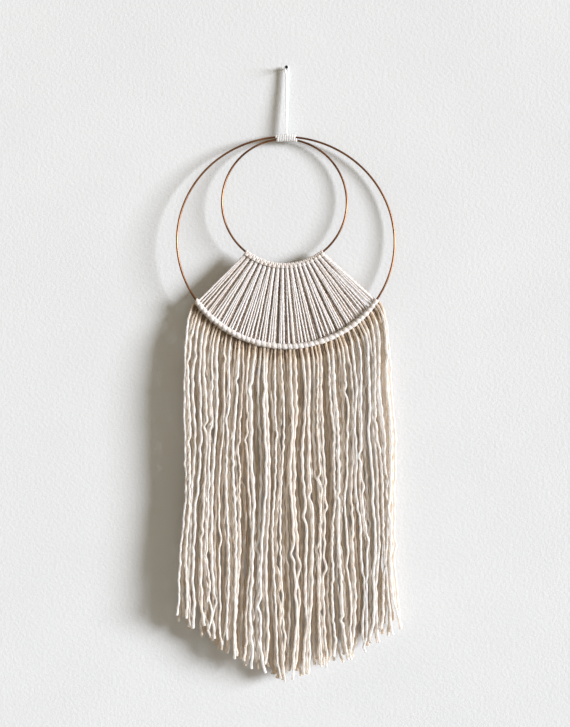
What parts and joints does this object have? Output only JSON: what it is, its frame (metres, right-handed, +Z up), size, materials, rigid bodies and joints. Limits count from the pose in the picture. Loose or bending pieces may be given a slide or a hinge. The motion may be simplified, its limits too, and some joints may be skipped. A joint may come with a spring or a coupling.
{
  "type": "macrame fringe wall hanging on two metal hoops with its nail",
  "caption": "Wall hanging of cream yarn: tight strands fan from a small wire hoop to a larger one and fall below it as a long loose fringe, on a cord loop over a nail.",
  "frame": {"origin": "the middle of the nail where it enters the wall", "axes": "+Z up, +Y into the wall, -Y towards the room, +X to the right as seen from the room"},
  "size_m": [0.2672, 0.0251, 0.736],
  "materials": {
    "yarn": "loosely plied matt cotton yarn, cream",
    "cord": "plied cotton cord, white",
    "copper_wire": "copper-coloured plating, satin",
    "dark_steel": "blued steel"
  },
  "bodies": {
    "root": {"wall_nail": "dark_steel", "hanging_loop": "cord", "top_lashing": "cord", "outer_hoop": "copper_wire", "inner_hoop": "copper_wire", "knotted_web": "yarn", "fringe": "yarn"}
  },
  "joints": []
}
